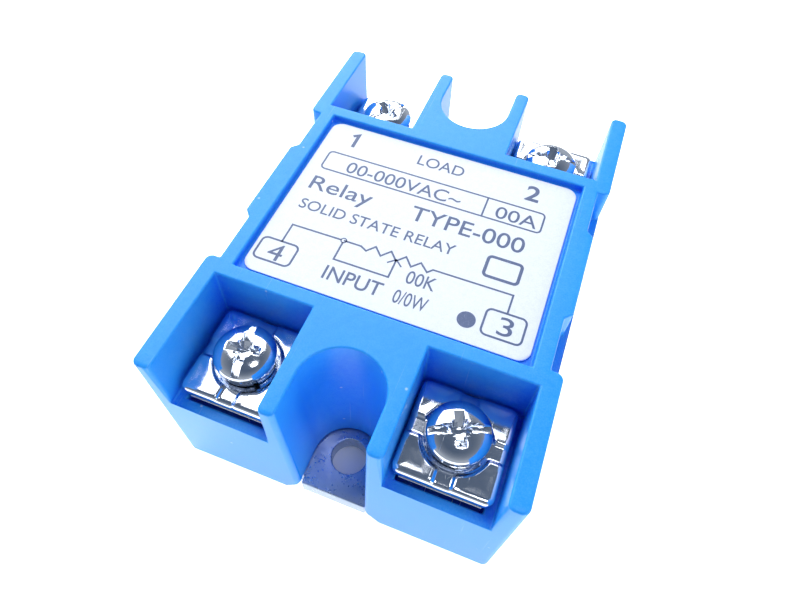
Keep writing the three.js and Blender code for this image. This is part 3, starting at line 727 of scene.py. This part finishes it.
def carved(mesh, tools):
    """The mesh with each tool cut out of it."""
    links = bpy.context.scene.collection.objects
    blank = bpy.data.objects.new("blank", mesh)
    links.link(blank)
    cutters = []
    for tool in tools:
        cutter = bpy.data.objects.new("cutter", tool)
        links.link(cutter)
        cutters.append(cutter)
        cut = blank.modifiers.new("cut", "BOOLEAN")
        cut.operation, cut.solver, cut.object = "DIFFERENCE", "EXACT", cutter
    bpy.context.view_layer.update()
    made = bpy.data.meshes.new_from_object(blank.evaluated_get(bpy.context.evaluated_depsgraph_get()))
    for helper in [blank] + cutters:
        bpy.data.objects.remove(helper)
    return made


def threaded_shank(bottom, top):
    """Points and faces of a closed threaded rod about the Z axis."""
    around, per_turn = 48, 10
    rows = int((top - bottom) / THREAD_PITCH * per_turn)
    points, faces = [], []
    for row in range(rows + 1):
        z = bottom + (top - bottom) * row / rows
        taper = min(1.0, (z - bottom) / LEAD_LENGTH)
        for step in range(around):
            angle = 2 * math.pi * step / around
            phase = (z / THREAD_PITCH - step / around) % 1.0
            tooth = abs(2.0 * phase - 1.0)
            flank = min(1.0, max(0.0, (tooth - ROOT_FLAT) / FLANK_SHARE))
            radius = SHANK_RADIUS - THREAD_DEPTH * (1.0 - flank)
            radius *= LEAD_SHARE + (1.0 - LEAD_SHARE) * taper
            points.append((radius * math.cos(angle), radius * math.sin(angle), z))
    for row in range(rows):
        a = [row * around + k for k in range(around)]
        faces += bridge(a, [k + around for k in a])
    faces.append(tuple(range(around))[::-1])
    faces.append(tuple(rows * around + k for k in range(around)))
    return points, faces


def pan_head(bottom, top):
    """Pan head with a slot along X and a cross recess, its cut edges a little rounded."""
    radius = HEAD_RADIUS
    profile = [(0.0, bottom), (radius - 0.35 * MM, bottom), (radius - 0.08 * MM, bottom + 0.10 * MM)]
    profile += [(radius, bottom + 0.30 * MM)]
    rings = 16
    for step in range(rings + 1):
        angle = math.pi / 2 * step / rings
        profile.append((radius * math.cos(angle), top - HEAD_DOME * (1.0 - math.sin(angle))))
    profile[-1] = (0.0, top)
    blank = mesh_from("head", *turned(profile))
    slot = wedge_tool(top, (4.5 * MM, 0.50 * MM), 1.0 * MM, (4.5 * MM, 0.46 * MM))
    along = wedge_tool(top, (2.35 * MM, 0.62 * MM), 1.75 * MM, (0.75 * MM, 0.45 * MM))
    across = wedge_tool(top, (0.62 * MM, 2.35 * MM), 1.75 * MM, (0.45 * MM, 0.75 * MM))
    hub = wedge_tool(top, (0.98 * MM, 0.98 * MM), 1.80 * MM, (0.5 * MM, 0.5 * MM))
    head = carved(blank, [slot, along, across, hub])
    shape = bmesh.new()
    shape.from_mesh(head)
    bmesh.ops.remove_doubles(shape, verts=shape.verts, dist=1e-6)
    folded = math.radians(28.0)
    edges = [e for e in shape.edges if len(e.link_faces) == 2 and e.calc_face_angle() > folded]
    bmesh.ops.bevel(
        shape,
        geom=edges,
        offset=HEAD_EDGE_ROUNDING,
        segments=2,
        profile=0.5,
        affect="EDGES",
        clamp_overlap=True,
    )
    points = [tuple(corner.co) for corner in shape.verts]
    shape.verts.index_update()
    faces = [tuple(corner.index for corner in face.verts) for face in shape.faces]
    shape.free()
    return points, faces


def pan_screw(number):
    """Screw of one terminal: the pan head on a threaded shank."""
    node = f"terminal_screw_{number}"
    low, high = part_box(node)
    centre = (low + high) / 2
    skirt = high.z - HEAD_HEIGHT
    points, faces = pan_head(skirt, high.z)
    shank_points, shank_faces = threaded_shank(low.z, skirt + SHANK_IN_HEAD)
    start = len(points)
    points += shank_points
    faces += [tuple(k + start for k in face) for face in shank_faces]
    mesh = bpy.data.meshes.new(f"pan_screw_{number}")
    mesh.from_pydata(points, [], faces)
    turn = Matrix.Rotation(math.radians(SLOT_TURN[number]), 4, "Z")
    mesh.transform(Matrix.Translation((centre.x, centre.y, 0.0)) @ turn)
    return finish_piece(
        f"pan_screw_{number}", mesh, FINISHES["zinc_plate"], f"screw_{number}", [node], 32.0
    )


def split_washer(number):
    """Spring washer: a ring of square wire with its two cut ends a little apart in height."""
    node = f"spring_washer_{number}"
    low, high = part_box(node)
    centre = (low + high) / 2
    inner, outer = WASHER_BORE, (high.x - low.x) / 2 - WASHER_SIDE_GAP
    thick, rise = (high.z - low.z) * WIRE_SHARE, (high.z - low.z) * STEP_SHARE
    soft, around = WASHER_ROUNDING, 96
    start = WASHER_TURN + SLOT_TURN[number] + WASHER_GAP / 2
    section = [
        (inner + soft, 0.0), (outer - soft, 0.0), (outer, soft), (outer, thick - soft),
        (outer - soft, thick), (inner + soft, thick), (inner, thick - soft), (inner, soft),
    ]
    points, faces = [], []
    for step in range(around + 1):
        angle = math.radians(start + (360.0 - WASHER_GAP) * step / around)
        for radius, height in section:
            z = low.z + rise * step / around + height
            points.append((centre.x + radius * math.cos(angle), centre.y + radius * math.sin(angle), z))
    size = len(section)
    for step in range(around):
        a = [step * size + k for k in range(size)]
        faces += bridge(a, [k + size for k in a])
    faces.append(tuple(range(size)))
    faces.append(tuple(around * size + k for k in range(size))[::-1])
    mesh = mesh_from(f"split_washer_{number}", points, faces)
    return finish_piece(
        f"split_washer_{number}", mesh, FINISHES["spring_steel"], f"screw_{number}", [node]
    )


# ---------------------------------------------------------------- print on the label

PRINT_RISE = 0.02 * MM
LABEL_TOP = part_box("label")[1].z


def lettering(text, left, right, middle, height, weight=0.002):
    """Vertices and faces of generic lettering, fitted between left and right and centred on middle, in mm."""
    curve = bpy.data.curves.new("lettering", "FONT")
    curve.body = text
    curve.size = 1.0
    curve.offset = weight
    curve.extrude = 0.01
    holder = bpy.data.objects.new("lettering", curve)
    bpy.context.scene.collection.objects.link(holder)
    bpy.context.view_layer.update()
    mesh = bpy.data.meshes.new_from_object(holder.evaluated_get(bpy.context.evaluated_depsgraph_get()))
    points = np.array([p.co for p in mesh.vertices])
    faces = [tuple(f.vertices) for f in mesh.polygons]
    bpy.data.objects.remove(holder)
    bpy.data.meshes.remove(mesh)
    bpy.data.curves.remove(curve)
    low, high = points.min(0), points.max(0)
    size = high - low
    target = np.array([right - left, height, PRINT_RISE / MM])
    base = np.array([left, middle - height / 2, 0.0])
    placed = (points - low) / size * target + base
    return placed * MM + np.array([0.0, 0.0, LABEL_TOP]), faces


# Strokes are mitred up to this share of their width
LEAST_MITRE = 0.45


def stroke(points, width, closed=False):
    """A flat printed line through points, in mm, with mitred corners."""
    path = np.array(points, float)
    count = len(path)
    sides = []
    for k in range(count):
        before = path[k] - path[k - 1] if closed or k > 0 else path[k + 1] - path[k]
        after = path[(k + 1) % count] - path[k] if closed or k < count - 1 else before
        before, after = before / np.hypot(*before), after / np.hypot(*after)
        across = np.array([-(before + after)[1], (before + after)[0]])
        across = across / max(np.hypot(*across), 1e-9)
        mitre = 1.0 / max(LEAST_MITRE, abs(np.dot(across, [-before[1], before[0]])))
        sides.append((path[k] + across * mitre * width / 2, path[k] - across * mitre * width / 2))
    rise = LABEL_TOP / MM
    made = []
    for level in (rise, rise + PRINT_RISE / MM):
        for a, b in sides:
            made.append((a[0], a[1], level))
            made.append((b[0], b[1], level))
    faces = []
    upper = 2 * count
    for k in range(count if closed else count - 1):
        a, b = 2 * k, 2 * ((k + 1) % count)
        faces.append((upper + a, upper + b, upper + b + 1, upper + a + 1))
        faces.append((a, a + 1, b + 1, b))
        faces.append((a, b, upper + b, upper + a))
        faces.append((a + 1, upper + a + 1, upper + b + 1, b + 1))
    if not closed:
        end = 2 * (count - 1)
        faces.append((0, upper, upper + 1, 1))
        faces.append((end, end + 1, upper + end + 1, upper + end))
    return np.array(made) * MM, faces


def round_frame(left, right, bottom, top, radius, width):
    """A printed rectangle with round corners, in mm."""
    path = []
    for cx, cy, start in (
        (right - radius, top - radius, 0), (left + radius, top - radius, 90),
        (left + radius, bottom + radius, 180), (right - radius, bottom + radius, 270),
    ):
        for step in range(7):
            angle = math.radians(start + 15 * step)
            path.append((cx + radius * math.cos(angle), cy + radius * math.sin(angle)))
    return stroke(path, width, closed=True)


def ring_path(x, y, radius, steps):
    angles = np.linspace(0, 2 * math.pi, steps, False)
    return [(x + radius * math.cos(a), y + radius * math.sin(a)) for a in angles]


def disc(x, y, radius):
    """A printed spot: a ring so thick that it closes but for a point at its middle."""
    return stroke(ring_path(x, y, radius / 2, 40), radius * 0.98, closed=True)


def printed(name, marks):
    """One piece of ink from several marks."""
    points, faces = [], []
    for mark_points, mark_faces in marks:
        start = len(points)
        points += list(mark_points)
        faces += [tuple(k + start for k in face) for face in mark_faces]
    return finish_piece(name, mesh_from(name, points, faces), INK, "case")


def label_print():
    """All the print: numbers, words, frames, circuit sketch and marks, placed in mm on the label."""
    fine, bold = 0.24, 0.018
    printed("print_terminal_numbers", [
        stroke([(-14.70, 12.55), (-13.95, 13.0), (-13.95, 10.35)], 0.5),
        lettering("2", 11.65, 13.60, 11.55, 2.9, bold),
        lettering("3", 13.80, 15.60, -10.75, 2.6, 0.0),
        lettering("4", -16.20, -14.25, -10.95, 2.6, 0.0),
    ])
    printed("print_words", [
        lettering("LOAD", -4.25, 2.55, 11.75, 1.95),
        lettering("INPUT", -8.40, -0.75, -11.35, 2.1, 0.006),
        lettering("SOLID STATE RELAY", -16.10, 5.65, -2.10, 1.75),
        lettering("Relay", -16.40, -7.40, 1.55, 3.3),
        lettering("TYPE-000", -1.75, 13.80, 1.95, 2.6, 0.004),
        lettering("00-000VAC~", -13.00, 3.75, 6.45, 2.15),
        lettering("00A", 8.70, 14.40, 6.45, 2.15),
        lettering("00K", 1.35, 5.10, -8.20, 2.0),
        lettering("0/0W", 0.85, 5.10, -11.45, 2.0),
    ])
    printed("print_frames", [
        round_frame(-16.45, 15.10, 4.90, 8.45, 0.6, fine),
        stroke([(7.10, 5.0), (7.10, 8.35)], fine),
        round_frame(-17.75, -12.80, -12.55, -9.10, 0.7, fine + 0.03),
        round_frame(12.00, 16.95, -12.60, -8.85, 0.7, fine + 0.03),
    ])
    zigzag = [(-8.1, -5.98), (-5.7, -5.98), (-4.85, -6.45), (-3.9, -5.35), (-2.85, -6.5), (-1.8, -5.3)]
    zigzag += [(-0.75, -6.5), (0.25, -5.4), (1.3, -6.65), (2.3, -5.6), (3.45, -6.7), (4.05, -6.05)]
    zigzag += [(14.40, -5.98), (14.40, -8.75)]
    printed("print_diagram", [
        stroke([(-15.3, -9.2), (-15.3, -6.05), (-8.45, -5.98)], fine),
        stroke(ring_path(-8.1, -5.98, 0.36, 16), 0.16, closed=True),
        stroke(zigzag, fine),
        stroke([(-8.1, -6.3), (-8.1, -9.2), (-0.75, -9.2), (-0.75, -6.3)], fine),
        stroke([(-1.7, -7.15), (-0.75, -6.3), (0.2, -7.15)], 0.2),
    ])
    printed("print_marks", [
        disc(10.05, -11.45, 1.15),
        round_frame(10.0, 14.4, -4.35, -1.15, 0.5, 0.42),
    ])


# ---------------------------------------------------------------- the object

END_WALLS = (31.0, 0.7)

softened("housing", "housing_shell", 0.25, "case", "blue_plastic", wall_ends=END_WALLS)
softened("base_plate", "aluminium_base", 0.18, "case", "aluminium")
softened("label", "label_sheet", 0.05, "case", "label_paper")
for number in CORNERS:
    terminal = f"load_terminal_{number}" if number < 3 else f"input_terminal_{number}"
    softened(terminal, f"tapped_tab_{number}", 0.12, "case", "nickel_plate")
    pressed_clamp(number)
    split_washer(number)
    pan_screw(number)
label_print()


# ---------------------------------------------------------------- floor, light and camera

FLOOR_HALF_SIZE = 1.5
FLOOR_DROP = 0.0001
FLOOR_GLOW = 1.05
# Glow of the floor right under the object: a painted shadow
PAINTED_SHADOW_GLOW = 0.05
# How far the glow of the floor reaches in under the object
GLOW_UNDER = 0.002

SKY_LOW, SKY_HIGH = rgb(0.66, 0.71, 0.78), rgb(0.14, 0.19, 0.28)
SKY_SPAN = (0.35, 0.93)
SKY_STRENGTH = 0.68

# Name, place and aim in metres, size in metres, power in watts
SOFT_BOXES = (
    ("window_light", (-0.20, 0.27, 0.31), (0.0, 0.0, 0.02), (0.50, 0.50), 3.25),
    ("top_light", (0.10, -0.02, 0.60), (0.0, 0.0, 0.0), (0.10, 0.10), 0.35),
    ("side_light", (0.36, -0.10, 0.16), (0.0, 0.0, 0.01), (0.24, 0.20), 0.4),
)

# Camera: place in mm, its directions ahead and to the right, lens and sensor width in mm
CAMERA_PLACE = (13.74, -49.69, 85.38)
CAMERA_AHEAD = (-0.16654, 0.52897, -0.83214)
CAMERA_RIGHT = (0.9345, 0.3540, 0.0380)
LENS, SENSOR_WIDTH = 26.8, 36.0


def floor_material():
    """Pale matt sheet on a light table; its glow is cut right under the object, which paints the shadow there.
    """
    material, tree, shader = start_material("pale_floor", Roughness=0.6)
    where = add_node(tree, "ShaderNodeTexCoord").outputs["Object"]
    cloud = noise(tree, where, 30.0, 3.0)
    white = mix_colour(tree, cloud, rgb(0.93, 0.94, 0.95), rgb(0.96, 0.965, 0.97))
    put(tree, white, shader.inputs["Base Color"])
    shader.inputs["Emission Color"].default_value = rgb(1.0, 1.0, 1.0)
    parts = add_node(tree, "ShaderNodeSeparateXYZ")
    put(tree, where, parts.inputs[0])
    half = cad_bounds[1]
    beside = maths(tree, "GREATER_THAN", maths(tree, "ABSOLUTE", parts.outputs["X"]), half.x - GLOW_UNDER)
    beyond = maths(tree, "GREATER_THAN", maths(tree, "ABSOLUTE", parts.outputs["Y"]), half.y - GLOW_UNDER)
    open_floor = maths(tree, "MAXIMUM", beside, beyond)
    # painted shadow: the floor's glow is cut under the object's footprint
    glow = ramp_between(tree, open_floor, 0.0, 1.0, PAINTED_SHADOW_GLOW, FLOOR_GLOW)
    put(tree, glow, shader.inputs["Emission Strength"])
    return material


def make_floor():
    shape = bmesh.new()
    bmesh.ops.create_grid(shape, x_segments=8, y_segments=8, size=FLOOR_HALF_SIZE)
    mesh = bpy.data.meshes.new("studio_floor")
    shape.to_mesh(mesh)
    shape.free()
    mesh.transform(Matrix.Translation((0.0, 0.0, -FLOOR_DROP)))
    mesh.materials.append(floor_material())
    floor = bpy.data.objects.new("studio_floor", mesh)
    bpy.context.scene.collection.objects.link(floor)


def soft_box(name, place, aim, size, power):
    lamp = bpy.data.lights.new(name, "AREA")
    lamp.shape = "RECTANGLE"
    lamp.size, lamp.size_y = size
    lamp.energy = power
    holder = bpy.data.objects.new(name, lamp)
    bpy.context.scene.collection.objects.link(holder)
    holder.location = place
    holder.rotation_mode = "QUATERNION"
    holder.rotation_quaternion = (Vector(aim) - Vector(place)).to_track_quat("-Z", "Y")


def make_sky():
    """A plain room: pale walls and a dimmer ceiling, so that bright metal has something to mirror."""
    world = bpy.data.worlds.new("studio")
    bpy.context.scene.world = world
    world.use_nodes = True
    tree = world.node_tree
    background = tree.nodes["Background"]
    direction = add_node(tree, "ShaderNodeTexCoord").outputs["Generated"]
    parts = add_node(tree, "ShaderNodeSeparateXYZ")
    put(tree, direction, parts.inputs[0])
    lift = ramp_between(tree, parts.outputs["Z"], *SKY_SPAN)
    put(tree, mix_colour(tree, lift, SKY_LOW, SKY_HIGH), background.inputs["Color"])
    background.inputs["Strength"].default_value = SKY_STRENGTH


def make_camera():
    place = Vector(CAMERA_PLACE) * MM
    ahead = Vector(CAMERA_AHEAD).normalized()
    right = Vector(CAMERA_RIGHT).normalized()
    up = right.cross(ahead).normalized()
    lens = bpy.data.cameras.new("studio_camera")
    lens.sensor_width = SENSOR_WIDTH
    lens.lens = LENS
    lens.clip_start, lens.clip_end = 0.002, 20.0
    camera = bpy.data.objects.new("studio_camera", lens)
    bpy.context.scene.collection.objects.link(camera)
    facing = Matrix((ahead.cross(up), up, -ahead)).transposed().to_4x4()
    camera.matrix_world = Matrix.Translation(place) @ facing
    bpy.context.scene.camera = camera


make_floor()
make_sky()
for soft_box_row in SOFT_BOXES:
    soft_box(*soft_box_row)
make_camera()
bpy.context.scene.view_settings.view_transform = "Standard"
bpy.context.scene.view_settings.look = "None"
